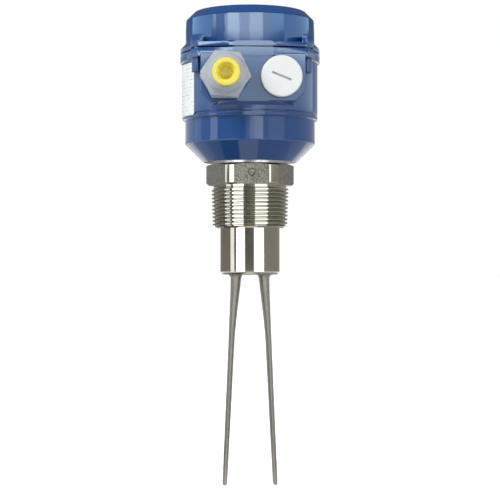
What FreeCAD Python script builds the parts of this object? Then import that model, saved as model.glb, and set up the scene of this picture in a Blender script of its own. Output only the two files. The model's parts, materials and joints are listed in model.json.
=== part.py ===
import FreeCAD, Part
import os
import re

import Sketcher

# Vibrating fork level switch, in millimetres. The origin lies on the axis in the underside of the
# hexagon, where the taper thread starts. +Z points up to the lid and -Y to the cable entries.

doc = FreeCAD.newDocument("ForkLevelSwitch")
sheet = doc.addObject("Spreadsheet::Sheet", "Sizes")

SIZES = {
    # Process connection: hexagon, R 1 1/2 taper thread and smooth tube
    "hexagon_step": 1.1,
    "hexagon_corner_cut": 1.22,
    "hexagon_height": 13.3,
    "hexagon_chamfer": 1.5,
    "thread_major_dia": 47.8,
    "thread_pitch": 2.309,
    "thread_depth": 1.48,
    "thread_length": 26.3,
    "thread_relief": 1.6,
    "thread_taper": 16.0,
    "thread_crest": 0.35,
    "tube_dia": 36.6,
    "tube_length": 55.0,
    "tube_wall": 3.0,
    "spigot_dia": 32.0,
    "spigot_length": 13.5,
    "spigot_wall": 5.0,
    "connection_land": 4.0,
    # Fork: head with diaphragm and stud, and two tines
    "head_height": 6.0,
    "head_round": 1.9,
    "head_spigot": 3.0,
    "head_wall": 3.0,
    "head_clearance": 0.1,
    "diaphragm_thickness": 2.4,
    "stud_dia": 5.0,
    "stud_length": 19.0,
    "tine_sink": 1.2,
    "flare_drop": 2.4,
    "root_drop": 8.4,
    "waist_drop": 38.0,
    "tip_drop": 130.0,
    "flare_thickness": 9.0,
    "neck_thickness": 6.7,
    "root_thickness": 6.0,
    "waist_thickness": 3.9,
    "tip_thickness": 3.0,
    "flare_outer": 13.3,
    "neck_outer": 12.0,
    "root_outer": 12.1,
    "waist_outer": 13.3,
    "tip_outer": 17.15,
    "root_width": 15.0,
    "waist_width": 13.5,
    "tip_width": 9.0,
    # Piezo stack clamped on the stud
    "ring_room": 5.3,
    "ring_clearance": 0.3,
    "ring_thickness": 2.0,
    "electrode_thickness": 0.3,
    "electrode_overhang": 0.5,
    "insulator_thickness": 1.2,
    "stack_nut_dia": 12.0,
    "stack_nut_height": 4.0,
    # Housing
    "neck_ring_thickness": 1.0,
    "neck_ring_width": 7.0,
    "rim_margin": 1.7,
    "cone_height": 11.2,
    "barrel_step": 1.7,
    "ledge_height": 40.0,
    "body_dia": 83.6,
    "edge_round": 1.0,
    "groove_rise": 3.4,
    "groove_width": 1.2,
    "groove_depth": 0.7,
    "flange_height": 5.5,
    "flange_overhang": 1.3,
    "flange_flat": 0.4,
    "joint_height": 80.5,
    "body_wall": 4.9,
    "floor_thickness": 4.2,
    "floor_clearance": 1.15,
    "spigot_clearance": 0.2,
    "lock_nut_wall": 4.8,
    "lock_nut_height": 6.0,
    "lock_nut_slot": 5.0,
    # Raised panel that carries the cable entries
    "panel_inset": 0.9,
    "panel_thickness": 6.3,
    "panel_margin": 3.5,
    "panel_foot": 2.7,
    "panel_corner": 6.0,
    "panel_room": 4.0,
    "panel_tuck": 2.0,
    "entry_drop": 0.4,
    "entry_spacing": 33.4,
    "entry_dia": 19.6,
    "entry_clearance": 0.3,
    # Lid with its ears and captive screws
    "joint_gap": 0.6,
    "lid_lip_height": 2.5,
    "lid_lip_round": 0.9,
    "lid_slope_height": 3.3,
    "lid_step": 2.3,
    "lid_draft": 0.5,
    "lid_wall_height": 20.4,
    "lid_chamfer": 5.2,
    "lid_wall": 2.6,
    "lid_roof": 3.2,
    "gasket_step": 2.1,
    "gasket_width": 2.2,
    "gasket_sink": 1.2,
    "ear_stand": 1.55,
    "ear_angle": 40.23,
    "ear_width": 7.6,
    "ear_depth": 18.0,
    "ear_bevel": 4.0,
    "ear_bevel_length": 6.2,
    "corner_drop": 4.0,
    "corner_start": 9.5,
    "column_dia": 6.4,
    "ear_height": 7.4,
    "column_height": 14.0,
    "screw_dia": 4.0,
    "screw_clearance": 0.25,
    "screw_head_dia": 5.6,
    "screw_head_height": 3.0,
    "screw_reach": 10.0,
    "screw_run_out": 2.0,
    "screw_slot": 1.2,
    # Cable gland
    "ring_seal_thickness": 1.0,
    "ring_seal_width": 2.0,
    "gland_hex_step": 3.2,
    "gland_flange": 5.5,
    "gland_inside": 9.5,
    "gland_shank_wall": 4.3,
    "gland_neck_step": 0.3,
    "gland_neck_length": 9.6,
    "gland_neck_wall": 1.5,
    "gland_mouth_depth": 8.6,
    "nut_gap": 0.4,
    "nut_clearance": 0.3,
    "nut_hexagon": 8.6,
    "nut_chamfer": 1.6,
    "nut_dome": 5.6,
    "nut_turn_angle": 5.0,
    "nut_front_width": 2.7,
    "nut_mouth_clearance": 0.8,
    "bush_wall": 1.4,
    "bush_length": 8.9,
    "plug_gap": 0.3,
    "plug_rim_overhang": 1.3,
    "plug_rim": 2.6,
    "plug_clearance": 0.4,
    "plug_draft": 0.9,
    "plug_reach": 12.6,
    "plug_wall": 1.2,
    "plug_well_dia": 5.6,
    "plug_depth": 12.5,
    # Blanking plug
    "blank_overhang": 2.5,
    "blank_head": 3.4,
    "blank_round": 0.8,
    "blank_inside": 8.0,
    "blank_wall": 2.3,
    "blank_slot_length": 12.2,
    "blank_slot_width": 1.3,
    "blank_slot_depth": 1.4,
    "blank_slot_angle": 20.0,
    # Nameplate on the left side
    "plate_thickness": 0.3,
    "plate_margin": 1.7,
    "plate_start_angle": 56.0,
    "plate_sweep_angle": 68.0,
    # Circuit board and what it carries
    "board_height": 46.0,
    "board_thickness": 1.6,
    "board_share": 0.6,
    "post_clearance": 1.1,
    "post_dia": 5.0,
    "board_screw_dia": 2.5,
    "board_screw_head": 4.6,
    "board_screw_reach": 6.0,
    "terminal_length": 34.0,
    "terminal_depth": 12.0,
    "terminal_height": 12.5,
    "terminal_front": 24.0,
    "terminal_pitch": 6.6,
    "terminal_screw_dia": 4.0,
    "terminal_screw_sink": 5.0,
    "relay_length": 19.0,
    "relay_width": 15.5,
    "relay_height": 15.0,
    "transformer_length": 24.0,
    "transformer_width": 20.0,
    "transformer_height": 18.0,
    "part_spacing": 3.0,
    "capacitor_dia": 10.0,
    "capacitor_height": 18.0,
    "capacitor_across": 13.2,
    "lamp_dia": 5.0,
    "lamp_height": 8.6,
    "pot_width": 10.0,
    "pot_height": 4.8,
    "pot_across": 14.4,
    "pot_floor": 1.2,
    "dial_dia": 7.0,
    "dial_height": 1.8,
    "dial_pin_dia": 3.0,
    "dial_clearance": 0.3,
    "dial_slot": 0.8,
    "earth_screw_dia": 4.0,
    "earth_head_dia": 6.2,
    "earth_head_height": 2.6,
    "earth_clearance": 0.5,
    # How far a cutting shape runs past the surface that it cuts
    "cut_margin": 1.0,
}

for row, (alias, value) in enumerate(SIZES.items(), start=1):
    sheet.set(f"A{row}", alias)
    sheet.set(f"B{row}", str(value))
    sheet.setAlias(f"B{row}", alias)
doc.recompute()

# Diameters, heights and places worked out from the sizes above
HEXAGON = "(thread_major_dia + 2 * hexagon_step)"
HEXAGON_TURNED = f"({HEXAGON} / cos(30) - 2 * hexagon_corner_cut)"
TUBE_BORE = "(tube_dia - 2 * tube_wall)"
SPIGOT_BORE = "(spigot_dia - 2 * spigot_wall)"
SPIGOT_HOLE = "(spigot_dia + 2 * spigot_clearance)"
RING_BORE = "(stud_dia + 2 * ring_clearance)"
RING = f"({TUBE_BORE} - 2 * ring_room)"
ELECTRODE = f"({RING} + 2 * electrode_overhang)"
LOCK_NUT = f"({SPIGOT_HOLE} + 2 * lock_nut_wall)"
POST_CIRCLE = f"({LOCK_NUT} / 2 + post_clearance + post_dia / 2)"
EARTH_CIRCLE = f"({LOCK_NUT} / 2 + earth_clearance + earth_head_dia / 2)"
RIM_DIA = f"(2 * {POST_CIRCLE} + post_dia + 2 * rim_margin)"
BARREL = "(body_dia - 2 * barrel_step)"
CAVITY = "(body_dia - 2 * body_wall)"
FLANGE = "(body_dia + 2 * flange_overhang)"
FLANGE_FRONT = "(body_dia / 2 - flange_flat)"
LID = "(body_dia - 2 * lid_step)"
GASKET = "(body_dia - 2 * gasket_step)"
GASKET_BORE = f"({GASKET} - 2 * gasket_width)"
BOARD = f"(board_share * {CAVITY} + (1 - board_share) * (2 * {POST_CIRCLE} + post_dia))"
EAR_ACROSS = "((body_dia / 2 + ear_stand) * cos(ear_angle))"
EAR_AHEAD = "((body_dia / 2 + ear_stand) * sin(ear_angle))"
SCREW_HOLE = "(screw_dia + 2 * screw_clearance)"
ENTRY_BORE = "(entry_dia + 2 * entry_clearance)"
RING_SEAL = "(entry_dia + 2 * ring_seal_width)"
GLAND_FLATS = "(entry_dia + 2 * gland_hex_step)"
GLAND_BORE = "(entry_dia - 2 * gland_shank_wall)"
GLAND_NECK = "(entry_dia - 2 * gland_neck_step)"
GLAND_MOUTH = f"({GLAND_NECK} - 2 * gland_neck_wall)"
BUSH_BORE = f"({GLAND_MOUTH} - 2 * bush_wall)"
NUT_MOUTH = f"({BUSH_BORE} + nut_mouth_clearance)"
NUT_FRONT_DIA = f"({NUT_MOUTH} + 2 * nut_front_width)"
PLUG_RIM = f"({NUT_MOUTH} + 2 * plug_rim_overhang)"
PLUG_SHANK = f"({BUSH_BORE} - 2 * plug_clearance)"
BLANK = "(entry_dia + 2 * blank_overhang)"
BLANK_BORE = "(entry_dia - 2 * blank_wall)"
RIM = "(hexagon_height + neck_ring_thickness)"
CONE_TOP = f"({RIM} + cone_height)"
GROOVE = "(ledge_height + groove_rise)"
FLANGE_BOTTOM = "(joint_height - flange_height)"
ENTRY_HEIGHT = f"({FLANGE_BOTTOM} - {RING_SEAL} / 2 - entry_drop)"
PANEL_FRONT = "(body_dia / 2 - panel_inset)"
PANEL_BACK = f"({PANEL_FRONT} - panel_thickness)"
PANEL_HALF = "((entry_spacing + entry_dia) / 2 + panel_margin)"
PANEL_BOTTOM = f"({ENTRY_HEIGHT} - {RING_SEAL} / 2 - panel_foot)"
PANEL_TOP = f"({FLANGE_BOTTOM} + panel_tuck)"
PLATE_BOTTOM = "(ledge_height + plate_margin)"
FLOOR = f"({RIM} + floor_thickness)"
LID_BASE = "(joint_height + joint_gap)"
SHOULDER = f"({LID_BASE} + lid_wall_height)"
LID_TOP = f"({SHOULDER} + lid_chamfer)"
GASKET_SEAT = "(joint_height - gasket_sink)"
ABOVE_JOINT = "(joint_height + cut_margin)"
ABOVE_LID = f"({LID_TOP} + cut_margin)"
EAR_TOP = f"({LID_BASE} + ear_height)"
EAR_SIDE = f"({EAR_ACROSS} + ear_width / 2)"
EAR_FRONT = f"({FLANGE_FRONT} - corner_drop)"
HEAD_TOP = "(-tube_length + head_height)"
STACK_BASE = "(-tube_length + diaphragm_thickness)"
BOARD_TOP = "(board_height + board_thickness)"
GLAND_FACE = "(ring_seal_thickness + gland_flange)"
NECK_END = f"({GLAND_FACE} + gland_neck_length)"
NUT_BACK = f"({GLAND_FACE} + nut_gap)"
NUT_SHOULDER = f"({NUT_BACK} + nut_hexagon)"
NUT_FRONT = f"({NUT_SHOULDER} + nut_dome)"
PLUG_BACK = f"({NUT_FRONT} + plug_gap)"
THREAD_ROWS = int((SIZES["thread_length"] - SIZES["thread_relief"]) / SIZES["thread_pitch"])
RINGS = 4
TERMINALS = 5
PART_ROW = "(part_spacing - terminal_front + terminal_depth)"
BACK_ROW = f"({PART_ROW} + transformer_width + part_spacing)"
LEFT = "-entry_spacing / 2"
RIGHT = "entry_spacing / 2"
CORNERS = [(across, ahead) for across in (-1, 1) for ahead in (-1, 1)]
POST_ANGLES = (90, 210, 330)
FACING_FRONT = FreeCAD.Rotation(FreeCAD.Vector(1, 0, 0), 90)
UPRIGHT = FreeCAD.Rotation()


def formula(text):
    """Points every size name in a formula at its cell of the sheet."""
    return re.sub(r"[a-z_]+", lambda word: f"Sizes.{word[0]}" if word[0] in SIZES else word[0], text)


def number(text):
    """Gives the present value of a formula."""
    value = sheet.evalExpression(formula(text))
    return float(getattr(value, "Value", value))


def bind(item, prop, text):
    item.setExpression(prop, formula(text))


def place(item, x="0", y="0", z="0", turn=UPRIGHT):
    """Turns an object and moves it to a point given by three formulas."""
    item.Placement = FreeCAD.Placement(FreeCAD.Vector(number(x), number(y), number(z)), turn)
    for axis, text in zip("xyz", (x, y, z)):
        bind(item, f"Placement.Base.{axis}", text)
    return item


def spun(item, angle):
    """Turns an object about the vertical axis by a formula in degrees."""
    whole = doc.addObject("Part::Compound", f"{item.Name}_spun")
    whole.Links = [item]
    whole.Placement = FreeCAD.Placement(
        FreeCAD.Vector(), FreeCAD.Rotation(FreeCAD.Vector(0, 0, 1), number(angle))
    )
    bind(whole, "Placement.Rotation.Angle", angle)
    return whole


def at_entry(item, across, along):
    """Lays an object on the axis of a cable entry, so far out of the panel."""
    return place(item, across, f"-({PANEL_FRONT} + {along})", ENTRY_HEIGHT, FACING_FRONT)


def spun_at_entry(item, angle, across, along):
    """Lays an object on the axis of a cable entry after turning it clockwise, as seen from outside."""
    whole = doc.addObject("Part::Compound", f"{item.Name}_placed")
    whole.Links = [spun(item, f"360 - {angle}")]
    return at_entry(whole, across, along)


def cylinder(name, radius, height):
    item = doc.addObject("Part::Cylinder", name)
    bind(item, "Radius", radius)
    bind(item, "Height", height)
    return item


def box(name, low, high):
    """A box between two corners, each given by three formulas."""
    item = doc.addObject("Part::Box", name)
    for side, start, end in zip(("Length", "Width", "Height"), low, high):
        bind(item, side, f"({end}) - ({start})")
    return place(item, *low)


def prism(name, flats, height):
    """A hexagonal prism, with two corners on the X axis."""
    item = doc.addObject("Part::Prism", name)
    item.Polygon = 6
    bind(item, "Circumradius", f"{flats} / 2 / cos(30)")
    bind(item, "Height", height)
    return item


def fuse(name, *items):
    item = doc.addObject("Part::MultiFuse", name)
    item.Shapes = list(items)
    item.Refine = True
    return item


def cut(name, base, *tools):
    item = doc.addObject("Part::Cut", name)
    item.Base = base
    item.Tool = tools[0] if len(tools) == 1 else fuse(f"{name}_tools", *tools)
    item.Refine = True
    return item


def common(name, first, second):
    item = doc.addObject("Part::Common", name)
    item.Base = first
    item.Tool = second
    return item


def group(name, items):
    """Keeps like pieces as separate solids in one node."""
    item = doc.addObject("Part::Compound", name)
    item.Links = list(items)
    return item


def pin_point(sketch, geo, pos, corner):
    """Fixes a sketch point at a corner's two formulas."""
    for axis, kind, text in ((-2, "DistanceX", corner[0]), (-1, "DistanceY", corner[1])):
        if text == "0":
            sketch.addConstraint(Sketcher.Constraint("PointOnObject", geo, pos, axis))
            continue
        index = sketch.addConstraint(Sketcher.Constraint(kind, -1, 1, geo, pos, number(text)))
        bind(sketch, f"Constraints[{index}]", text)


def arc_at(corner, radius, before, after):
    """Gives the points where an arc of that radius meets the two sides of a corner, and its middle."""
    back = (before - corner).normalize()
    ahead = (after - corner).normalize()
    inward = (back + ahead).normalize()
    cosine = back.dot(inward)
    sine = (1 - cosine**2) ** 0.5
    reach = radius * cosine / sine
    middle = corner + inward * (radius / sine - radius)
    return corner + back * reach, middle, corner + ahead * reach


def round_off(sketch, index, previous, corner, arc_points):
    """Joins two sides by a tangent arc whose corner point keeps the corner's formulas."""
    start, middle, end = arc_points
    arc = sketch.addGeometry(Part.Arc(start, middle, end))
    first, last = (1, 2) if (middle - start).cross(end - middle).z > 0 else (2, 1)
    point = sketch.addGeometry(Part.Point(start), True)
    pin_point(sketch, point, 1, corner)
    for side in (previous, index):
        sketch.addConstraint(Sketcher.Constraint("PointOnObject", point, 1, side))
    sketch.addConstraint(Sketcher.Constraint("Tangent", previous, 2, arc, first))
    sketch.addConstraint(Sketcher.Constraint("Tangent", arc, last, index, 1))
    radius = sketch.addConstraint(Sketcher.Constraint("Radius", arc, number(corner[2])))
    bind(sketch, f"Constraints[{radius}]", corner[2])


def outline(body, role, corners, lift="0"):
    """A closed sketch through corners given by (x, y) formulas, or (x, y, radius) for a rounded one."""
    plane = next(item for item in body.Origin.OriginFeatures if item.Role == role)
    sketch = body.newObject("Sketcher::SketchObject", f"{body.Name}_outline")
    sketch.AttachmentSupport = (plane, [""])
    sketch.MapMode = "FlatFace"
    bind(sketch, "AttachmentOffset.Base.z", lift)
    points = [FreeCAD.Vector(number(corner[0]), number(corner[1]), 0) for corner in corners]
    arcs = {}
    for index, corner in enumerate(corners):
        if len(corner) == 3:
            neighbours = points[index - 1], points[(index + 1) % len(points)]
            arcs[index] = arc_at(points[index], number(corner[2]), *neighbours)
    for index, point in enumerate(points):
        following = (index + 1) % len(points)
        start = arcs[index][2] if index in arcs else point
        end = arcs[following][0] if following in arcs else points[following]
        sketch.addGeometry(Part.LineSegment(start, end))
    for index, corner in enumerate(corners):
        previous = (index - 1) % len(corners)
        if index in arcs:
            round_off(sketch, index, previous, corner, arcs[index])
            continue
        sketch.addConstraint(Sketcher.Constraint("Coincident", previous, 2, index, 1))
        pin_point(sketch, index, 1, corner)
    return sketch


def turned(name, corners):
    """A body turned about its own Z axis from (radius, height) corners."""
    body = doc.addObject("PartDesign::Body", name)
    sketch = outline(body, "XZ_Plane", corners)
    turning = body.newObject("PartDesign::Revolution", f"{name}_turning")
    turning.Profile = sketch
    turning.ReferenceAxis = (sketch, ["V_Axis"])
    turning.Angle = 360
    return body


def extruded(name, role, corners, length, lift="0"):
    """A body padded from an outline on one of its origin planes."""
    body = doc.addObject("PartDesign::Body", name)
    sketch = outline(body, role, corners, lift)
    pad = body.newObject("PartDesign::Pad", f"{name}_pad")
    pad.Profile = sketch
    bind(pad, "Length", length)
    return body


def tube(name, outer, inner, low, high):
    """A plain ring between two heights."""
    radii = (f"{outer} / 2", f"{inner} / 2")
    return turned(name, [(radii[1], low), (radii[0], low), (radii[0], high), (radii[1], high)])


def mirrored(item, across, ahead):
    """Copies an object of the corner at -X and -Y to another corner of the housing."""
    for sign, normal in ((across, FreeCAD.Vector(1, 0, 0)), (ahead, FreeCAD.Vector(0, 1, 0))):
        if sign > 0:
            mirror = doc.addObject("Part::Mirroring", f"{item.Name}_mirrored")
            mirror.Source = item
            mirror.Normal = normal
            item = mirror
    return item


def at_corners(item):
    """Gives one object in each of the four corners, from the one at -X and -Y."""
    return [mirrored(item, across, ahead) for across, ahead in CORNERS]


def thread_profile():
    """Corners of the taper thread's ridges, from the hexagon down, all on the 1 in 16 taper."""
    corners = []
    for row in range(THREAD_ROWS):
        top = f"(-thread_relief - {row} * thread_pitch)"
        shrink = f"(-({top}) / thread_taper / 2)"
        root = f"thread_major_dia / 2 - thread_depth - {shrink}"
        crest = f"thread_major_dia / 2 - {shrink}"
        flank = "(thread_pitch / 2 - thread_crest)"
        corners += [
            (root, top),
            (crest, f"{top} - {flank}"),
            (crest, f"{top} - {flank} - thread_crest"),
            (root, f"{top} - thread_pitch + thread_crest"),
        ]
    return corners


def process_connection():
    """Hexagon, spigot, taper thread and smooth tube, machined from one casting."""
    blank = turned(
        "hexagon_blank",
        [
            ("0", "0"),
            (f"{HEXAGON_TURNED} / 2 - hexagon_chamfer / 2", "0"),
            (f"{HEXAGON_TURNED} / 2", "hexagon_chamfer / 2"),
            (f"{HEXAGON_TURNED} / 2", "hexagon_height - hexagon_chamfer"),
            (f"{HEXAGON} / 2 - hexagon_chamfer", "hexagon_height"),
            ("0", "hexagon_height"),
        ],
    )
    hexagon = common("hexagon", blank, prism("hexagon_prism", HEXAGON, "hexagon_height"))
    relief = "thread_major_dia / 2 - thread_depth"
    shank = turned(
        "shank",
        [
            ("0", HEAD_TOP),
            ("0", f"{RIM} + spigot_length"),
            ("spigot_dia / 2", f"{RIM} + spigot_length"),
            ("spigot_dia / 2", "hexagon_height / 2"),
            (relief, "hexagon_height / 2"),
            *thread_profile(),
            (f"{relief} - thread_crest - thread_length / thread_taper / 2", "-thread_length"),
            ("tube_dia / 2", "-thread_length"),
            ("tube_dia / 2", HEAD_TOP),
        ],
    )
    low = f"{HEAD_TOP} - cut_margin"
    high = f"{RIM} + spigot_length + cut_margin"
    bores = turned(
        "connection_bores",
        [
            ("0", low),
            ("0", high),
            (f"{SPIGOT_BORE} / 2", high),
            (f"{SPIGOT_BORE} / 2", "-connection_land"),
            (f"{TUBE_BORE} / 2", "-connection_land"),
            (f"{TUBE_BORE} / 2", low),
        ],
    )
    return cut("process_connection", fuse("connection_blank", hexagon, shank), bores)


def tine(side):
    """One flat tine of oval section, thick at its root and slender at its tip."""
    stations = [
        ("-tine_sink", "flare_outer", "flare_thickness", "root_width"),
        ("flare_drop", "neck_outer", "neck_thickness", "root_width"),
        ("root_drop", "root_outer", "root_thickness", "root_width"),
        ("waist_drop", "waist_outer", "waist_thickness", "waist_width"),
        ("tip_drop", "tip_outer", "tip_thickness", "tip_width"),
    ]
    ovals = []
    for drop, outer, thickness, width in stations:
        oval = doc.addObject("Part::Ellipse", f"tine_{drop.strip('-')}")
        bind(oval, "MajorRadius", f"{width} / 2")
        bind(oval, "MinorRadius", f"{thickness} / 2")
        sideways = FreeCAD.Rotation(FreeCAD.Vector(0, 0, 1), 90)
        place(oval, f"{side} * ({outer} - {thickness} / 2)", z=f"-tube_length - ({drop})", turn=sideways)
        ovals.append(oval)
    item = doc.addObject("Part::Loft", "tine")
    item.Sections = ovals
    item.Solid = True
    item.Ruled = True
    return item


def fork():
    """The welded fork: a round head with its diaphragm and stud, and two tines cast with it."""
    spigot = f"({TUBE_BORE} / 2 - head_clearance)"
    pocket = f"({spigot} - head_wall)"
    head = turned(
        "fork_head",
        [
            ("0", "-tube_length"),
            ("tube_dia / 2", "-tube_length", "head_round"),
            ("tube_dia / 2", HEAD_TOP),
            (spigot, HEAD_TOP),
            (spigot, f"{HEAD_TOP} + head_spigot"),
            (pocket, f"{HEAD_TOP} + head_spigot"),
            (pocket, STACK_BASE),
            ("stud_dia / 2", STACK_BASE),
            ("stud_dia / 2", f"{STACK_BASE} + stud_length"),
            ("0", f"{STACK_BASE} + stud_length"),
        ],
    )
    return fuse("fork", head, tine(-1), tine(1))


def stack_level(pairs):
    """Height of the piezo stack above the diaphragm after so many ring and electrode pairs."""
    return f"({STACK_BASE} + insulator_thickness + {pairs} * (ring_thickness + electrode_thickness))"


def piezo_stack():
    """Rings of piezo ceramic with electrodes between them, insulated at both ends and clamped."""
    top = f"({stack_level(RINGS)} - electrode_thickness)"
    rings = []
    electrodes = []
    for row in range(RINGS):
        low = stack_level(row)
        high = f"({low} + ring_thickness)"
        rings.append(tube(f"ring_{row}", RING, RING_BORE, low, high))
        if row < RINGS - 1:
            top_side = f"({high} + electrode_thickness)"
            electrodes.append(tube(f"electrode_{row}", ELECTRODE, RING_BORE, high, top_side))
    lower = tube("insulator_low", RING, RING_BORE, STACK_BASE, stack_level(0))
    upper = tube("insulator_high", RING, RING_BORE, top, f"{top} + insulator_thickness")
    nut_base = f"({top} + insulator_thickness)"
    nut_outside = place(prism("stack_nut_prism", "stack_nut_dia", "stack_nut_height"), z=nut_base)
    nut_bore = place(cylinder("stack_nut_bore", "stud_dia / 2", "stack_nut_height"), z=nut_base)
    return [
        group("piezo_rings", rings),
        group("piezo_electrodes", electrodes),
        group("piezo_insulators", [lower, upper]),
        cut("piezo_clamp_nut", nut_outside, nut_bore),
    ]


def neck_ring():
    """Bright steel ring between the hexagon and the housing."""
    return tube("neck_ring", "(spigot_dia + 2 * neck_ring_width)", SPIGOT_HOLE, "hexagon_height", RIM)


def lock_nut():
    """Slotted round nut that holds the housing on the spigot."""
    top = f"{FLOOR} + lock_nut_height"
    ring = tube("lock_nut_ring", LOCK_NUT, SPIGOT_HOLE, FLOOR, top)
    reach = f"({LOCK_NUT} / 2 + cut_margin)"
    across = box(
        "lock_nut_across",
        (f"-{reach}", "-lock_nut_slot / 2", f"{FLOOR} + lock_nut_height / 2"),
        (reach, "lock_nut_slot / 2", f"{top} + cut_margin"),
    )
    return cut("lock_nut", ring, across)


def housing_shell():
    """Outer form of the housing, turned solid: cone, barrel, body with a shadow groove, and flange."""
    barrel = f"{BARREL} / 2"
    body = "body_dia / 2"
    flange = f"{FLANGE} / 2"
    return turned(
        "housing_shell",
        [
            ("0", RIM),
            (f"{RIM_DIA} / 2", RIM),
            (barrel, CONE_TOP, "edge_round"),
            (barrel, "ledge_height"),
            (body, "ledge_height", "edge_round / 2"),
            (body, GROOVE),
            (f"{body} - groove_depth", GROOVE),
            (f"{body} - groove_depth", f"{GROOVE} + groove_width"),
            (body, f"{GROOVE} + groove_width"),
            (body, FLANGE_BOTTOM),
            (flange, FLANGE_BOTTOM, "edge_round"),
            (flange, "joint_height"),
            ("0", "joint_height"),
        ],
    )


def housing_cavity():
    """Room inside the housing, with a flat wall left standing behind the entry panel."""
    slope = f"(({BARREL} - {RIM_DIA}) / 2 / cone_height)"
    floor_radius = f"({EARTH_CIRCLE} + earth_head_dia / 2 + floor_clearance)"
    cavity = f"{CAVITY} / 2"
    turned_room = turned(
        "cavity_turned",
        [
            ("0", FLOOR),
            (floor_radius, FLOOR),
            (cavity, f"{FLOOR} + ({cavity} - {floor_radius}) / {slope}"),
            (cavity, ABOVE_JOINT),
            ("0", ABOVE_JOINT),
        ],
    )
    reach = f"({PANEL_HALF} + panel_room)"
    wall = box(
        "panel_wall",
        (f"-{reach}", f"-{PANEL_FRONT}", f"{PANEL_BOTTOM} - panel_room"),
        (reach, f"-{PANEL_BACK}", PANEL_TOP),
    )
    return cut("cavity", turned_room, wall)


def entry_panel():
    """Raised flat panel for the two cable entries, with its lower corners cut off."""
    half = PANEL_HALF
    cut_top = f"{PANEL_BOTTOM} + panel_corner"
    return extruded(
        "entry_panel",
        "XZ_Plane",
        [
            (f"-{half} + panel_corner", PANEL_BOTTOM),
            (f"{half} - panel_corner", PANEL_BOTTOM),
            (half, cut_top),
            (half, PANEL_TOP),
            (f"-{half}", PANEL_TOP),
            (f"-{half}", cut_top),
        ],
        "panel_thickness + cut_margin",
        f"{PANEL_BACK} - cut_margin",
    )


def flange_limits(name, low, high):
    """Block that flattens the front and back of a flange."""
    reach = f"({FLANGE} / 2 + ear_width)"
    return box(name, (f"-{reach}", f"-{FLANGE_FRONT}", low), (reach, FLANGE_FRONT, high))


def corner_post(name, diameter, low, high):
    """Upright cylinder on the screw axis of the corner at -X and -Y."""
    item = cylinder(name, f"{diameter} / 2", f"({high}) - ({low})")
    return place(item, f"-{EAR_ACROSS}", f"-{EAR_AHEAD}", low)


def corner_lug(name, low, high):
    """Lug that squares the flange out round the screw at -X and -Y, flush with the flat front."""
    back = f"-({EAR_FRONT} - ear_depth)"
    return extruded(
        name,
        "XY_Plane",
        [
            ("-corner_start", f"-{FLANGE_FRONT}"),
            ("-corner_start", back),
            (f"-{EAR_SIDE}", back),
            (f"-{EAR_SIDE}", f"-({EAR_FRONT} - ear_bevel_length)"),
            (f"-({EAR_SIDE} - ear_bevel)", f"-{EAR_FRONT}"),
        ],
        f"({high}) - ({low})",
        low,
    )


def housing():
    """Die-cast housing: shell, entry panel and screw columns, with its cavity and threaded holes."""
    whole = common("housing_blank", housing_shell(), flange_limits("housing_flats", "0", ABOVE_JOINT))
    columns = at_corners(corner_post("column", "column_dia", "joint_height - column_height", "joint_height"))
    lugs = at_corners(corner_lug("flange_lug", FLANGE_BOTTOM, "joint_height"))
    drilled = "joint_height - screw_reach - screw_run_out"
    holes = at_corners(corner_post("screw_hole", SCREW_HOLE, drilled, ABOVE_JOINT))
    entries = []
    for side, across in (("left", LEFT), ("right", RIGHT)):
        entry = cylinder(f"{side}_entry", f"{ENTRY_BORE} / 2", "gland_inside + 3 * cut_margin")
        entries.append(at_entry(entry, across, "(-gland_inside - 2 * cut_margin)"))
    neck = cylinder("neck_bore", f"{SPIGOT_HOLE} / 2", "floor_thickness + 2 * cut_margin")
    place(neck, z=f"{RIM} - cut_margin")
    groove = tube("gasket_groove", GASKET, GASKET_BORE, GASKET_SEAT, ABOVE_JOINT)
    earth = cylinder("earth_hole", "earth_screw_dia / 2", "floor_thickness")
    place(earth, x=EARTH_CIRCLE, z=f"{RIM} + cut_margin")
    bulge = box(
        "panel_bulge",
        (f"-{PANEL_HALF}", f"-{FLANGE}", PANEL_BOTTOM),
        (PANEL_HALF, f"-{PANEL_FRONT}", FLANGE_BOTTOM),
    )
    tools = (housing_cavity(), *holes, *entries, bulge, neck, groove, earth)
    return cut("housing", fuse("housing_solid", whole, entry_panel(), *columns, *lugs), *tools)


def lid_turned():
    """Round cover with a sloped shoulder, hollow below and open at its flange."""
    wall = f"{LID} / 2"
    inside = f"({wall} - lid_wall)"
    lip_top = f"({LID_BASE} + lid_lip_height)"
    ceiling = f"({LID_TOP} - lid_roof)"
    return turned(
        "lid_turned",
        [
            (inside, LID_BASE),
            (f"{FLANGE} / 2", LID_BASE),
            (f"{FLANGE} / 2", lip_top, "lid_lip_round"),
            (f"{wall} + lid_draft", f"{lip_top} + lid_slope_height"),
            (wall, SHOULDER, "edge_round"),
            (f"{wall} - lid_chamfer", LID_TOP, "edge_round"),
            ("0", LID_TOP),
            ("0", ceiling),
            (f"{inside} - lid_chamfer / 2", ceiling),
            (inside, f"{ceiling} - lid_chamfer / 2"),
        ],
    )


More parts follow.
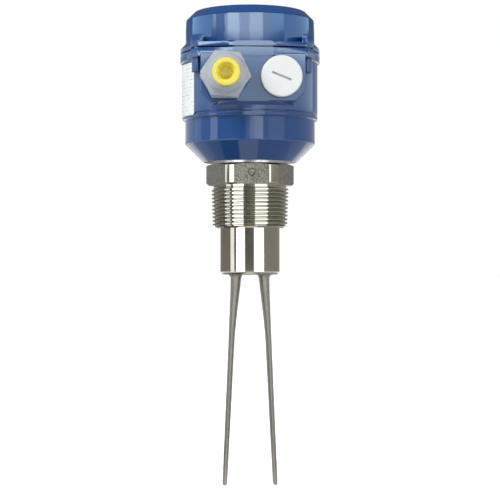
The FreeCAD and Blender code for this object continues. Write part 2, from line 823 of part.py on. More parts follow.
def lid():
    """Cover with four square ears for the captive screws, each with a counterbore that hides the head."""
    whole = common("lid_blank", lid_turned(), flange_limits("lid_flats", LID_BASE, ABOVE_LID))
    lugs = at_corners(corner_lug("lid_lug", LID_BASE, f"{LID_BASE} + lid_lip_height"))
    ear_limits = box(
        "ear_limits",
        (f"-{EAR_SIDE} - cut_margin", f"-{FLANGE_FRONT}", LID_BASE),
        (f"-({EAR_SIDE} - ear_width)", "0", EAR_TOP),
    )
    ears = at_corners(common("ear", corner_lug("ear_lug", LID_BASE, EAR_TOP), ear_limits))
    sink = "(screw_head_dia + 2 * screw_clearance)"
    seat = f"({EAR_TOP} - screw_head_height)"
    low = f"({LID_BASE} - cut_margin)"
    high = f"({EAR_TOP} + cut_margin)"
    holes = at_corners(corner_post("ear_hole", SCREW_HOLE, low, high))
    sinks = at_corners(corner_post("ear_sink", sink, seat, high))
    hollow = cylinder("lid_hollow", f"{LID} / 2 - lid_wall", f"{high} - {low}")
    place(hollow, z=low)
    return cut("lid", fuse("lid_solid", whole, *lugs, *ears), *holes, *sinks, hollow)


def lid_gasket():
    return tube("lid_gasket", GASKET, GASKET_BORE, GASKET_SEAT, LID_BASE)


def lid_screws():
    """Four slotted captive screws."""
    seat = f"({EAR_TOP} - screw_head_height)"
    head = corner_post("screw_head", "screw_head_dia", seat, EAR_TOP)
    shank = corner_post("screw_shank", "screw_dia", "joint_height - screw_reach", seat)
    reach = "(screw_head_dia / 2 + cut_margin)"
    middle = f"{EAR_TOP} - screw_head_height / 2"
    slot = box(
        "screw_slot_cut",
        (f"-{EAR_ACROSS} - {reach}", f"-{EAR_AHEAD} - screw_slot / 2", middle),
        (f"-{EAR_ACROSS} + {reach}", f"-{EAR_AHEAD} + screw_slot / 2", f"{EAR_TOP} + cut_margin"),
    )
    screw = cut("lid_screw", fuse("lid_screw_blank", head, shank), slot)
    return group("lid_screws", at_corners(screw))


def entry_turned(name, corners, across):
    """A turned piece on the axis of a cable entry, with heights counted out from the panel."""
    return at_entry(turned(name, corners), across, "0")


def seal_ring(name, across):
    corners = [
        (f"{ENTRY_BORE} / 2", "0"),
        (f"{RING_SEAL} / 2", "0"),
        (f"{RING_SEAL} / 2", "ring_seal_thickness"),
        (f"{ENTRY_BORE} / 2", "ring_seal_thickness"),
    ]
    return entry_turned(name, corners, across)


def gland_body():
    """Threaded gland body: shank in the wall, hexagon on the panel and neck for the cap nut."""
    mouth = f"({NECK_END} - gland_mouth_depth)"
    hexagon = prism("gland_hexagon", GLAND_FLATS, "gland_flange")
    at_entry(hexagon, LEFT, "ring_seal_thickness")
    barrel = entry_turned(
        "gland_barrel",
        [
            (f"{GLAND_BORE} / 2", "-gland_inside"),
            ("entry_dia / 2", "-gland_inside"),
            ("entry_dia / 2", "ring_seal_thickness"),
            (f"{GLAND_NECK} / 2", "ring_seal_thickness"),
            (f"{GLAND_NECK} / 2", NECK_END),
            (f"{GLAND_BORE} / 2", NECK_END),
        ],
        LEFT,
    )
    bore = cylinder("gland_through", f"{GLAND_BORE} / 2", f"{NECK_END} + gland_inside + 2 * cut_margin")
    at_entry(bore, LEFT, "(-gland_inside - cut_margin)")
    wide = cylinder("gland_mouth", f"{GLAND_MOUTH} / 2", "gland_mouth_depth + cut_margin")
    at_entry(wide, LEFT, mouth)
    return cut("gland_body", fuse("gland_blank", hexagon, barrel), bore, wide)


def gland_nut():
    """Hexagonal cap nut that runs out into a round dome."""
    corner = f"{GLAND_FLATS} / 2 / cos(30)"
    form = entry_turned(
        "nut_form",
        [
            ("0", NUT_BACK),
            (f"{corner} - nut_chamfer / 2", NUT_BACK),
            (corner, f"{NUT_BACK} + nut_chamfer / 2"),
            (corner, f"{NUT_SHOULDER} - nut_chamfer"),
            (f"{GLAND_FLATS} / 2 - nut_chamfer / 2", NUT_SHOULDER),
            (f"{NUT_FRONT_DIA} / 2 + nut_chamfer / 2", f"{NUT_FRONT} - nut_chamfer"),
            (f"{NUT_FRONT_DIA} / 2 - nut_chamfer / 2", NUT_FRONT),
            ("0", NUT_FRONT),
        ],
        LEFT,
    )
    hexagon = prism("nut_hexagon_prism", GLAND_FLATS, f"{NUT_FRONT} - {NUT_BACK}")
    hexagon = spun_at_entry(hexagon, "nut_turn_angle", LEFT, NUT_BACK)
    low = f"({NUT_BACK} - cut_margin)"
    inside = cylinder("nut_inside", f"{GLAND_NECK} / 2 + nut_clearance", f"{NECK_END} + nut_gap - {low}")
    at_entry(inside, LEFT, low)
    mouth = cylinder("nut_mouth", f"{NUT_MOUTH} / 2", f"{NUT_FRONT} + cut_margin - {low}")
    at_entry(mouth, LEFT, low)
    return cut("gland_nut", common("nut_blank", form, hexagon), inside, mouth)


def gland_bush():
    """Rubber bush that grips the cable, or here the plug."""
    low = f"({NECK_END} - gland_mouth_depth)"
    corners = [
        (f"{BUSH_BORE} / 2", low),
        (f"{GLAND_MOUTH} / 2", low),
        (f"{GLAND_MOUTH} / 2", f"{low} + bush_length"),
        (f"{BUSH_BORE} / 2", f"{low} + bush_length"),
    ]
    return entry_turned("gland_bush", corners, LEFT)


def transport_plug():
    """Hollow yellow plug that keeps the empty gland closed in transport."""
    front = f"({PLUG_BACK} + plug_rim)"
    tip = f"({PLUG_BACK} - plug_reach)"
    return entry_turned(
        "transport_plug",
        [
            ("0", tip),
            (f"{PLUG_SHANK} / 2 - plug_draft", tip, "edge_round"),
            (f"{PLUG_SHANK} / 2", PLUG_BACK),
            (f"{PLUG_RIM} / 2", PLUG_BACK),
            (f"{PLUG_RIM} / 2", front, "edge_round"),
            (f"{PLUG_SHANK} / 2 - plug_wall", front, "edge_round / 2"),
            ("plug_well_dia / 2 + edge_round", f"{front} - plug_depth + edge_round"),
            ("plug_well_dia / 2", f"{front} - plug_depth"),
            ("0", f"{front} - plug_depth"),
        ],
        LEFT,
    )


def blanking_plug():
    """White slotted screw plug, hollow behind its round head."""
    front = "(ring_seal_thickness + blank_head)"
    blank = entry_turned(
        "blank_form",
        [
            ("0", "ring_seal_thickness"),
            (f"{BLANK_BORE} / 2", "ring_seal_thickness"),
            (f"{BLANK_BORE} / 2", "-blank_inside"),
            ("entry_dia / 2", "-blank_inside"),
            ("entry_dia / 2", "ring_seal_thickness"),
            (f"{BLANK} / 2", "ring_seal_thickness"),
            (f"{BLANK} / 2", front, "blank_round"),
            ("0", front),
        ],
        RIGHT,
    )
    slot = box(
        "blank_slot",
        ("-blank_slot_length / 2", "-blank_slot_width / 2", "0"),
        ("blank_slot_length / 2", "blank_slot_width / 2", "blank_slot_depth + cut_margin"),
    )
    slot = spun_at_entry(slot, "blank_slot_angle", RIGHT, f"({front} - blank_slot_depth)")
    return cut("blanking_plug", blank, slot)


def nameplate():
    """Thin bare plate bent round the left side of the body."""
    sector = doc.addObject("Part::Cylinder", "plate_sector")
    bind(sector, "Radius", "body_dia / 2 + plate_thickness")
    height = f"{FLANGE_BOTTOM} - plate_margin - {PLATE_BOTTOM}"
    bind(sector, "Height", height)
    bind(sector, "Angle", "plate_sweep_angle")
    place(sector, z=PLATE_BOTTOM)
    item = spun(sector, "270 - plate_start_angle - plate_sweep_angle")
    inside = place(cylinder("plate_inside", "body_dia / 2", height), z=PLATE_BOTTOM)
    return cut("nameplate", item, inside)


def post_cylinder(name, angle, diameter, low, high):
    """Upright cylinder on one of the board's three screw axes."""
    item = cylinder(name, f"{diameter} / 2", f"({high}) - ({low})")
    return place(item, f"{POST_CIRCLE} * cos({angle})", f"{POST_CIRCLE} * sin({angle})", low)


def circuit_board():
    disc = place(cylinder("board_disc", f"{BOARD} / 2", "board_thickness"), z="board_height")
    hole = "(board_screw_dia + screw_clearance)"
    low = "board_height - cut_margin"
    high = f"{BOARD_TOP} + cut_margin"
    holes = [post_cylinder(f"board_hole_{angle}", angle, hole, low, high) for angle in POST_ANGLES]
    return cut("circuit_board", disc, *holes)


def board_posts():
    """Three posts that carry the board from the housing floor."""
    posts = []
    for angle in POST_ANGLES:
        post = post_cylinder(f"post_{angle}", angle, "post_dia", FLOOR, "board_height")
        low = "board_height - board_screw_reach - cut_margin"
        high = "board_height + cut_margin"
        tapped = post_cylinder(f"post_hole_{angle}", angle, "board_screw_dia", low, high)
        posts.append(cut(f"board_post_{angle}", post, tapped))
    return group("board_posts", posts)


def board_screws():
    screws = []
    for angle in POST_ANGLES:
        top = f"({BOARD_TOP} + board_screw_dia / 2)"
        head = post_cylinder(f"board_head_{angle}", angle, "board_screw_head", BOARD_TOP, top)
        low = "(board_height - board_screw_reach)"
        shank = post_cylinder(f"board_shank_{angle}", angle, "board_screw_dia", low, BOARD_TOP)
        screws.append(fuse(f"board_screw_{angle}", head, shank))
    return group("board_screws", screws)


def terminals():
    """Terminal block across the front of the board, with a screw in each of its wells."""
    block = box(
        "terminal_housing",
        ("-terminal_length / 2", "-terminal_front", BOARD_TOP),
        ("terminal_length / 2", "-terminal_front + terminal_depth", f"{BOARD_TOP} + terminal_height"),
    )
    top = f"({BOARD_TOP} + terminal_height)"
    base = f"({top} - terminal_screw_sink)"
    middle = "-terminal_front + terminal_depth / 2"
    wells = []
    screws = []
    for row in range(TERMINALS):
        across = f"({row} - {(TERMINALS - 1) / 2}) * terminal_pitch"
        radius = "terminal_screw_dia / 2"
        well = cylinder(f"terminal_well_{row}", radius, "terminal_screw_sink + cut_margin")
        wells.append(place(well, across, middle, base))
        screw = cylinder(f"terminal_screw_{row}", radius, "terminal_screw_sink / 2")
        screws.append(place(screw, across, middle, base))
    return [cut("terminal_block", block, *wells), group("terminal_screws", screws)]


def board_block(name, low, size):
    """A plain component body on the board."""
    high = (f"{low[0]} + {size[0]}", f"{low[1]} + {size[1]}", f"{BOARD_TOP} + {size[2]}")
    return box(name, (*low, BOARD_TOP), high)


def board_round(name, x, y, diameter, height):
    item = turned(
        name,
        [
            ("0", "0"),
            (f"{diameter} / 2", "0"),
            (f"{diameter} / 2", height, f"{diameter} / 8"),
            ("0", height),
        ],
    )
    return place(item, x, y, BOARD_TOP)


def board_parts():
    """Relay, transformer, capacitor and lamp, set out clear of the screws."""
    relay_size = ("relay_length", "relay_width", "relay_height")
    transformer_size = ("transformer_length", "transformer_width", "transformer_height")
    capacitor_at = ("-capacitor_across", f"{BACK_ROW} + capacitor_dia / 2")
    lamp_at = ("0", f"{BACK_ROW} + lamp_dia / 2")
    return [
        board_block("relay", ("-relay_length - 2 * part_spacing", PART_ROW), relay_size),
        board_block("transformer", ("0", PART_ROW), transformer_size),
        board_round("capacitor", *capacitor_at, "capacitor_dia", "capacitor_height"),
        board_round("indicator_lamp", *lamp_at, "lamp_dia", "lamp_height"),
    ]


def sensitivity_setting():
    """Potentiometer with a turning dial on top, seen with the lid off."""
    x = "pot_across"
    y = f"({BACK_ROW} + pot_width / 2)"
    corner = ("pot_across - pot_width / 2", BACK_ROW)
    case = board_block("pot_case", corner, ("pot_width", "pot_width", "pot_height"))
    hole = cylinder("pot_hole", "dial_pin_dia / 2 + dial_clearance", "pot_height - pot_floor + cut_margin")
    place(hole, x, y, f"{BOARD_TOP} + pot_floor")
    seat = f"({BOARD_TOP} + pot_height + dial_clearance)"
    disc = place(cylinder("dial_disc", "dial_dia / 2", "dial_height"), x, y, seat)
    pin = cylinder("dial_pin", "dial_pin_dia / 2", "pot_height / 2 + dial_clearance")
    place(pin, x, y, f"{seat} - pot_height / 2 - dial_clearance")
    slot = box(
        "dial_slot_cut",
        (f"{x} - dial_dia", f"{y} - dial_slot / 2", f"{seat} + dial_height / 2"),
        (f"{x} + dial_dia", f"{y} + dial_slot / 2", f"{seat} + dial_height + cut_margin"),
    )
    dial = cut("sensitivity_dial", fuse("dial_blank", disc, pin), slot)
    return [cut("sensitivity_pot", case, hole), dial]


def earth_screw():
    head = cylinder("earth_head", "earth_head_dia / 2", "earth_head_height")
    place(head, x=EARTH_CIRCLE, z=FLOOR)
    shank = cylinder("earth_shank", "earth_screw_dia / 2", "floor_thickness - cut_margin")
    place(shank, x=EARTH_CIRCLE, z=f"{RIM} + cut_margin")
    return fuse("earth_screw", head, shank)


sub_parts = [
    housing(),
    process_connection(),
    fork(),
    *piezo_stack(),
    neck_ring(),
    lock_nut(),
    lid(),
    lid_gasket(),
    lid_screws(),
    gland_body(),
    seal_ring("gland_seal", LEFT),
    gland_nut(),
    gland_bush(),
    transport_plug(),
    blanking_plug(),
    seal_ring("blanking_seal", RIGHT),
    nameplate(),
    circuit_board(),
    board_posts(),
    board_screws(),
    *terminals(),
    *board_parts(),
    *sensitivity_setting(),
    earth_screw(),
]
doc.recompute()

for item in doc.Objects:
    if "Invalid" in item.State or "Error" in item.State:
        raise RuntimeError(f"{item.Name} failed: {item.State}")
for item in sub_parts:
    if item.Shape.isNull() or not item.Shape.isValid() or not item.Shape.Solids:
        raise RuntimeError(f"{item.Label} has no valid solid")

os.makedirs("parts", exist_ok=True)
for item in sub_parts:
    item.Shape.exportStep(os.path.join("parts", f"{item.Label}.step"))
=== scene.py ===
import json
import math

import bmesh
import bpy
from mathutils import Matrix, Vector, noise


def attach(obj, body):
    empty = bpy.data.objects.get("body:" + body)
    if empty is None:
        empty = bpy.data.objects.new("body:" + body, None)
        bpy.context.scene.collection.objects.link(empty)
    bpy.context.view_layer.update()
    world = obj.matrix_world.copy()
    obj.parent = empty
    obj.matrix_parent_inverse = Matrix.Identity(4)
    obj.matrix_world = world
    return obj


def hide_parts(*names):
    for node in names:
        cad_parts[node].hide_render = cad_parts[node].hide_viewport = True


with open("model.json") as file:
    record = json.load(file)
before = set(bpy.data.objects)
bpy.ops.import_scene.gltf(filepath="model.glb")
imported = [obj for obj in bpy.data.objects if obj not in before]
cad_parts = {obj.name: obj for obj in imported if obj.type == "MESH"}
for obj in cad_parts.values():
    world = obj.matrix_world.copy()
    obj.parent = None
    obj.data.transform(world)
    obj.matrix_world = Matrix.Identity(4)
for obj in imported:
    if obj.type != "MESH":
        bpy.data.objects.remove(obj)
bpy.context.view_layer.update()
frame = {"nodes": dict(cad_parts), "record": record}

# Vibrating fork level switch. Shapes are worked out in millimetres, in the frame of the CAD model,
# and scaled to metres when a piece is dressed.

MM = 0.001
SEGMENTS = 192
ARC_STEPS = 6
WIDE = 60.0
NODES = frame["nodes"]
OUTWARD = Matrix.Rotation(math.radians(90), 4, "X")

HEX_FLATS = 50.0
HEX_TURNED = 27.1
HEX_TOP = 13.3
PITCH = 2.309
THREAD_END = -26.3
TUBE = 18.3
TUBE_END = -55.0
HEAD_TOP = -49.0
THREAD_CREST = 23.9
THREAD_DEPTH = 1.48

RIM = 14.3
FLOOR = 18.5
BARREL = 40.1
LEDGE = 40.0
BODY = 41.8
GROOVE = 42.4
FLANGE_BOTTOM = 75.0
FLANGE = 43.1
FLANGE_FRONT = 41.4
JOINT = 80.5
CAVITY = 36.9
PANEL_FRONT = 40.9
PANEL_BACK = 34.6
PANEL_HALF = 31.2
PANEL_BOTTOM = 48.3
PANEL_CORNER = 6.0
EAR_X, EAR_Y = 33.1, 28.0
EAR_SIDE = 36.9
EAR_INNER = 29.3
EAR_FRONT = 37.4
EAR_BACK = 19.4
EAR_BEVEL, EAR_BEVEL_LENGTH = 4.0, 6.2
LUG_START = 9.5
COLUMN = 3.2
SCREW_HOLE = 2.25
SCREW_SINK = 3.05
LID_BASE = 81.1
LIP_TOP = 83.6
SHOULDER = 101.5
LID_TOP = 106.7
EAR_TOP = 88.5
ENTRY_X, ENTRY_Z = 16.7, 62.8
GLAND_FLATS = 26.0


def rounded(corners):
    """Points of a closed outline through (x, y) corners, or (x, y, radius) for a rounded one."""
    points = []
    for index, corner in enumerate(corners):
        here = Vector(corner[:2])
        if len(corner) == 2:
            points.append(here)
            continue
        back = (Vector(corners[index - 1][:2]) - here).normalized()
        ahead = (Vector(corners[(index + 1) % len(corners)][:2]) - here).normalized()
        half = back.angle(ahead) / 2
        centre = here + (back + ahead).normalized() * (corner[2] / math.sin(half))
        first = here + back * (corner[2] / math.tan(half)) - centre
        last = here + ahead * (corner[2] / math.tan(half)) - centre
        sweep = first.angle(last)
        for step in range(ARC_STEPS + 1):
            share = step / ARC_STEPS
            arm = first * math.sin((1 - share) * sweep) + last * math.sin(share * sweep)
            points.append(centre + arm / math.sin(sweep))
    return points


def piece_from(name, mesh):
    """Makes an object from a bmesh, with its faces turned outwards."""
    bmesh.ops.recalc_face_normals(mesh, faces=mesh.faces)
    data = bpy.data.meshes.new(name)
    mesh.to_mesh(data)
    mesh.free()
    piece = bpy.data.objects.new(name, data)
    bpy.context.scene.collection.objects.link(piece)
    return piece


def lathe(name, corners, segments=SEGMENTS):
    """Turns a closed outline of (radius, height[, rounding]) corners about Z."""
    mesh = bmesh.new()
    rings = []
    for radius, height in rounded(corners):
        turns = segments if radius > 1e-6 else 1
        angles = [2 * math.pi * turn / segments for turn in range(turns)]
        rings.append([mesh.verts.new((radius * math.cos(a), radius * math.sin(a), height)) for a in angles])
    for index, second in enumerate(rings):
        first = rings[index - 1]
        if len(first) == 1 and len(second) == 1:
            continue
        for turn in range(segments):
            after = (turn + 1) % segments
            loop = [first[turn % len(first)], first[after % len(first)]]
            loop += [second[after % len(second)], second[turn % len(second)]]
            mesh.faces.new(list(dict.fromkeys(loop)))
    return piece_from(name, mesh)


def prism(name, corners, low, high):
    """Raises a closed outline of (x, y[, rounding]) corners between two heights."""
    mesh = bmesh.new()
    outline = rounded(corners)
    bottom = [mesh.verts.new((x, y, low)) for x, y in outline]
    top = [mesh.verts.new((x, y, high)) for x, y in outline]
    mesh.faces.new(bottom)
    mesh.faces.new(top)
    for index in range(len(outline)):
        mesh.faces.new((bottom[index - 1], bottom[index], top[index], top[index - 1]))
    return piece_from(name, mesh)


def hexagon(name, flats, low, high, first_corner=0.0):
    reach = flats / 2 / math.cos(math.radians(30))
    angles = [math.radians(60 * side + first_corner) for side in range(6)]
    return prism(name, [(reach * math.cos(a), reach * math.sin(a)) for a in angles], low, high)


def block(name, low, high):
    corners = [(low[0], low[1]), (high[0], low[1]), (high[0], high[1]), (low[0], high[1])]
    return prism(name, corners, low[2], high[2])


def post(name, radius, low, high, x=0.0, y=0.0, rounding=0.0, segments=64):
    """A cylinder, or one with rounded ends, on an upright axis."""
    ends = (rounding,) if rounding else ()
    item = lathe(name, [(0, low), (radius, low, *ends), (radius, high, *ends), (0, high)], segments)
    return moved(item, Matrix.Translation((x, y, 0)))


def moved(piece, matrix):
    piece.data.transform(matrix)
    return piece


def at_entry(piece, x):
    """Turns a piece from the Z axis to the axis of a cable entry."""
    return moved(piece, Matrix.Translation((x, -PANEL_FRONT, ENTRY_Z)) @ OUTWARD)


def settled(piece):
    """Applies the modifiers of a piece to its mesh."""
    depsgraph = bpy.context.evaluated_depsgraph_get()
    piece.data = bpy.data.meshes.new_from_object(piece.evaluated_get(depsgraph))
    piece.modifiers.clear()
    return piece


def joined(piece, *tools, how="UNION"):
    """Adds, cuts or intersects closed pieces."""
    for tool in tools:
        step = piece.modifiers.new("join", "BOOLEAN")
        step.operation = how
        step.solver = "EXACT"
        step.object = tool
        settled(piece)
        bpy.data.objects.remove(tool)
    return piece


def carved(piece, *tools):
    return joined(piece, *tools, how="DIFFERENCE")


def softened(piece, width, angle=40.0, segments=3):
    """Rounds the sharp edges of a piece."""
    step = piece.modifiers.new("soft", "BEVEL")
    step.width = width
    step.segments = segments
    step.limit_method = "ANGLE"
    step.angle_limit = math.radians(angle)
    return settled(piece)


def between_flats(piece):
    """Cuts a round piece off flat in front and behind."""
    room = block("flats", (-WIDE, -FLANGE_FRONT, 0), (WIDE, FLANGE_FRONT, 120))
    return joined(piece, room, how="INTERSECT")


def in_corners(make):
    """Makes one item in each of the four screw corners."""
    return [make(x, y) for x in (-EAR_X, EAR_X) for y in (-EAR_Y, EAR_Y)]


def dress(piece, body, slot, replaced, *materials, smooth=32.0):
    """Scales a piece to metres, gives it its finish and ties it to its body.

    Edges sharper than the angle smooth, in degrees, stay crisp.
    """
    piece.data.transform(Matrix.Scale(MM, 4))
    piece.data.materials.clear()
    for material in materials:
        piece.data.materials.append(material)
    piece.data.shade_smooth()
    piece.data.set_sharp_from_angle(angle=math.radians(smooth))
    even = piece.modifiers.new("even", "WEIGHTED_NORMAL")
    even.weight = 100
    even.keep_sharp = True
    settled(piece)
    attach(piece, body)
    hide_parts(*replaced)


def colour(red, green, blue):
    """Linear colour from 8-bit values as a picture shows them."""
    shown = [value / 255 for value in (red, green, blue)]
    return (*[v / 12.92 if v <= 0.04045 else ((v + 0.055) / 1.055) ** 2.4 for v in shown], 1.0)


class Shader:
    """Builds one node material on object coordinates, which are in metres."""

    def __init__(self, name):
        self.material = bpy.data.materials.new(name)
        self.material.use_nodes = True
        self.tree = self.material.node_tree
        self.base = self.tree.nodes["Principled BSDF"]
        self.place = self.add("ShaderNodeTexCoord").outputs["Object"]

    def add(self, kind, **settings):
        node = self.tree.nodes.new(kind)
        for key, value in settings.items():
            setattr(node, key, value)
        return node

    def link(self, source, target):
        self.tree.links.new(source, target)

    def set(self, **values):
        for key, value in values.items():
            self.base.inputs[key.replace("_", " ")].default_value = value

    def stretched(self, scale):
        node = self.add("ShaderNodeMapping")
        node.inputs["Scale"].default_value = scale
        self.link(self.place, node.inputs["Vector"])
        return node.outputs["Vector"]

    def noise(self, cell_mm, detail=2.0, rough=0.5, stretch=(1, 1, 1)):
        """Noise with cells of that size."""
        node = self.add("ShaderNodeTexNoise")
        node.inputs["Scale"].default_value = 1 / (cell_mm * MM)
        node.inputs["Detail"].default_value = detail
        node.inputs["Roughness"].default_value = rough
        self.link(self.stretched(stretch), node.inputs["Vector"])
        return node.outputs["Fac"]

    def grooves(self, pitch_mm, axis="Z", wander=0.0):
        """Parallel waves across an axis, from 0 to 1."""
        node = self.add("ShaderNodeTexWave", wave_type="BANDS", bands_direction=axis)
        node.inputs["Scale"].default_value = 2 * math.pi / (pitch_mm * MM) / 20
        node.inputs["Distortion"].default_value = wander
        self.link(self.place, node.inputs["Vector"])
        return node.outputs["Fac"]

    def ranged(self, source, low, high, start=0.3, end=0.7):
        """Maps the part of a value from start to end onto low to high."""
        node = self.add("ShaderNodeMapRange")
        for key, value in (("From Min", start), ("From Max", end), ("To Min", low), ("To Max", high)):
            node.inputs[key].default_value = value
        self.link(source, node.inputs["Value"])
        return node.outputs["Result"]

    def mixed(self, factor, first, second):
        """Mixes two colours, each a plain colour or a socket."""
        node = self.add("ShaderNodeMix", data_type="RGBA")
        self.link(factor, node.inputs["Factor"])
        for socket, value in ((node.inputs[6], first), (node.inputs[7], second)):
            if isinstance(value, tuple):
                socket.default_value = value
            else:
                self.link(value, socket)
        return node.outputs[2]

    def bump(self, *layers):
        """Stacks bump layers given as (height, depth in mm)."""
        normal = None
        for height, depth in layers:
            node = self.add("ShaderNodeBump")
            node.inputs["Distance"].default_value = depth * MM
            self.link(height, node.inputs["Height"])
            if normal:
                self.link(normal, node.inputs["Normal"])
            normal = node.outputs["Normal"]
        self.link(normal, self.base.inputs["Normal"])

    def tint(self, first, second, factor):
        self.link(self.mixed(factor, first, second), self.base.inputs["Base Color"])

    def rough(self, source, low, high):
        self.link(self.ranged(source, low, high), self.base.inputs["Roughness"])


def paint():
    """Powder coat on die-cast aluminium, with a faint orange peel."""
    shader = Shader("blue_powder_coat")
    cloud = shader.noise(24.0, 3.0)
    peel = shader.noise(1.6, 2.0)
    grain = shader.noise(0.35, 2.0)
    shader.tint(colour(30, 70, 128), colour(35, 79, 140), cloud)
    shader.rough(cloud, 0.42, 0.52)
    shader.bump((peel, 0.008), (grain, 0.002))
    shader.set(Specular_IOR_Level=0.06, Coat_Weight=1.0, Coat_Roughness=0.06)
    return shader.material


def bare_cast():
    """Blasted stainless casting, grey brown with a fine grain."""
    shader = Shader("blasted_steel")
    cloud = shader.noise(9.0, 4.0)
    grain = shader.noise(0.4, 3.0, 0.6)
    pits = shader.noise(0.95, 3.0, 0.6)
    speck = shader.ranged(shader.noise(0.75, 3.0, 0.7), 0.0, 1.0, 0.40, 0.60)
    shader.tint(colour(97, 93, 83), colour(160, 154, 143), speck)
    shader.rough(cloud, 0.46, 0.60)
    shader.bump((pits, 0.10), (grain, 0.07))
    shader.set(Metallic=1.0)
    return shader.material


def turned_steel():
    """Bright turned stainless steel with fine tool marks."""
    shader = Shader("turned_steel")
    cloud = shader.noise(14.0, 3.0)
    marks = shader.grooves(0.22, "Z", 1.0)
    streaks = shader.noise(1.2, 2.0, 0.5, (0.15, 0.15, 6.0))
    shader.tint(colour(178, 174, 164), colour(196, 192, 182), cloud)
    shader.rough(streaks, 0.06, 0.12)
    shader.bump((marks, 0.0003), (streaks, 0.0015))
    shader.set(Metallic=1.0)
    return shader.material


def rough_cast():
    """Investment-cast stainless tines, matt with a pebbled skin."""
    shader = Shader("cast_tines")
    cloud = shader.noise(7.0, 4.0)
    skin = shader.noise(1.1, 4.0, 0.65)
    grain = shader.noise(0.4, 2.0)
    shader.tint(colour(118, 114, 106), colour(174, 169, 160), skin)
    shader.rough(skin, 0.40, 0.56)
    shader.bump((skin, 0.22), (grain, 0.06), (cloud, 0.2))
    shader.set(Metallic=1.0)
    return shader.material


def plastic(name, first, second, rough=(0.35, 0.45), grain_mm=0.5, depth=0.01, **settings):
    """Moulded plastic with a fine spark-eroded grain."""
    shader = Shader(name)
    cloud = shader.noise(12.0, 3.0)
    grain = shader.noise(grain_mm, 2.0)
    shader.tint(first, second, cloud)
    shader.rough(cloud, *rough)
    shader.bump((grain, depth))
    shader.set(**settings)
    return shader.material


def metal(name, first, second):
    """Bare metal with fine scratches."""
    shader = Shader(name)
    cloud = shader.noise(5.0, 3.0)
    scratches = shader.noise(0.5, 2.0, 0.5, (6.0, 0.4, 1.0))
    shader.tint(first, second, cloud)
    shader.rough(scratches, 0.2, 0.3)
    shader.bump((scratches, 0.006))
    shader.set(Metallic=1.0)
    return shader.material


def plate_face():
    """Bare nameplate foil: white, with faint broken rules where lines of print would be."""
    shader = Shader("plate_foil")
    cloud = shader.noise(6.0, 3.0)
    rules = shader.ranged(shader.grooves(2.3, "Z"), 0.0, 1.0, 0.88, 0.93)
    broken = shader.ranged(shader.noise(4.0, 1.0), 0.0, 1.0, 0.50, 0.54)
    foil = shader.mixed(cloud, colour(238, 240, 241), colour(247, 248, 248))
    both = shader.add("ShaderNodeMath", operation="MULTIPLY")
    shader.link(rules, both.inputs[0])
    shader.link(broken, both.inputs[1])
    shader.tint(foil, colour(196, 199, 202), both.outputs[0])
    shader.rough(cloud, 0.34, 0.44)
    shader.bump((shader.noise(0.8, 2.0), 0.006))
    return shader.material


def board_face():
    """Green circuit board with raised tracks."""
    shader = Shader("circuit_board_green")
    weave = shader.noise(0.5, 1.0)
    tracks = shader.ranged(shader.grooves(2.4, "X", 4.0), 0.0, 1.0, 0.55, 0.62)
    shader.tint(colour(20, 84, 50), colour(38, 112, 70), tracks)
    shader.rough(weave, 0.28, 0.36)
    shader.bump((tracks, 0.035), (weave, 0.006))
    shader.set(Coat_Weight=0.5, Coat_Roughness=0.15)
    return shader.material


BLUE = paint()
BLASTED = bare_cast()
TURNED = turned_steel()
CAST = rough_cast()
GREY = plastic("grey_polyamide", colour(170, 177, 185), colour(184, 191, 199), (0.36, 0.46), 0.6, 0.02)
YELLOW = plastic("yellow_polyethylene", colour(240, 224, 84), colour(246, 231, 102), (0.30, 0.38))
WHITE = plastic("white_polyamide", colour(232, 234, 234), colour(238, 239, 239), (0.30, 0.38))
RUBBER = plastic("black_rubber", colour(26, 26, 27), colour(38, 38, 40), (0.6, 0.75), 0.4, 0.02)
BLACK = plastic("black_moulding", colour(26, 27, 29), colour(36, 37, 40), (0.4, 0.5))
LIME = plastic("terminal_green", colour(62, 138, 78), colour(74, 150, 88), (0.4, 0.5))
RED = plastic("red_lens", colour(190, 22, 18), colour(214, 34, 26), (0.12, 0.2), Coat_Weight=0.6)
ORANGE = plastic("dial_orange", colour(222, 112, 30), colour(234, 126, 40), (0.4, 0.5))
CERAMIC = plastic("piezo_ceramic", colour(196, 182, 150), colour(208, 195, 166), (0.5, 0.6), 0.3, 0.02)
FOIL = plate_face()
SCREW = metal("screw_steel", colour(186, 186, 184), colour(208, 208, 206))
BRASS = metal("brass", colour(196, 160, 92), colour(212, 178, 110))
BOARD = board_face()

SLOT_LOOKS = {
    "blue_paint": BLUE, "cast_steel": TURNED, "fork_steel": CAST, "grey_plastic": GREY,
    "yellow_plastic": YELLOW, "white_plastic": WHITE, "black_rubber": RUBBER, "plate_foil": FOIL,
    "screw_steel": SCREW, "brass": BRASS, "ceramic": CERAMIC, "board_green": BOARD,
    "terminal_green": LIME, "black_plastic": BLACK, "red_lens": RED, "dial_orange": ORANGE,
}


def look_over_cad():
    """Gives every CAD node the finish of its slot in the record."""
    for row in frame["record"]["subparts"]:
        node = NODES[row["node"]]
        node.data.materials.clear()
        node.data.materials.append(SLOT_LOOKS[row["material_slot"]])


